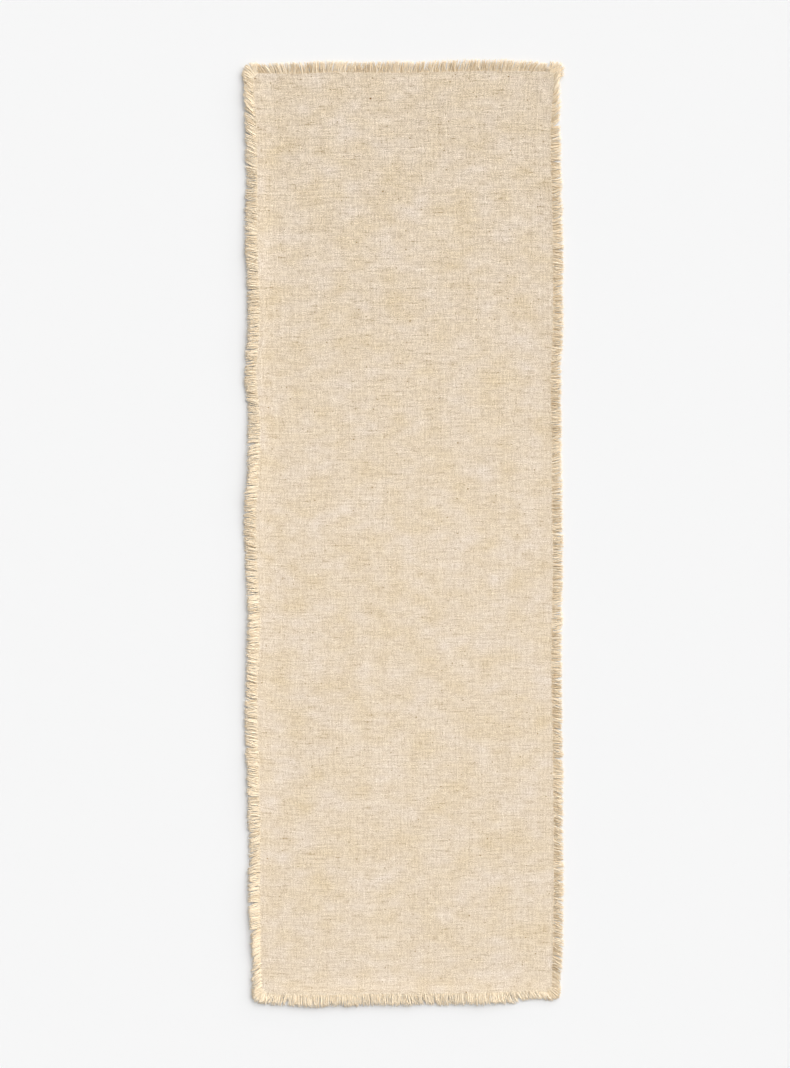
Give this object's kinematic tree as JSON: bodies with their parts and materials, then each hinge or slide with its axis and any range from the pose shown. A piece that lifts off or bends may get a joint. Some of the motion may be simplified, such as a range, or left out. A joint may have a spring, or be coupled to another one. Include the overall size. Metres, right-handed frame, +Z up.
{
  "type": "table runner",
  "caption": "Long flat woven table runner in natural beige, with a short frayed fringe round all four sides, laid over a table top.",
  "frame": {"origin": "centre of the runner's underside, on the surface it lies on", "axes": "+Y along the runner's length towards its far end, +X across its width towards its right side, +Z up out of the upper face"},
  "size_m": [0.4, 1.2, 0.0012],
  "materials": {
    "woven_cloth": "matte slubby plain weave of natural linen and cotton yarn",
    "fringe_yarn": "matte loose spun yarn, a little warmer than the cloth",
    "sewing_thread": "fine cotton sewing thread in the colour of the cloth"
  },
  "bodies": {
    "root": {"ground_cloth": "woven_cloth", "fringe_far_end": "fringe_yarn", "fringe_near_end": "fringe_yarn", "fringe_left_side": "fringe_yarn", "fringe_right_side": "fringe_yarn", "corner_fan_far_left": "fringe_yarn", "corner_fan_far_right": "fringe_yarn", "corner_fan_near_left": "fringe_yarn", "corner_fan_near_right": "fringe_yarn", "needle_thread": "sewing_thread", "bobbin_thread": "sewing_thread"}
  },
  "joints": []
}
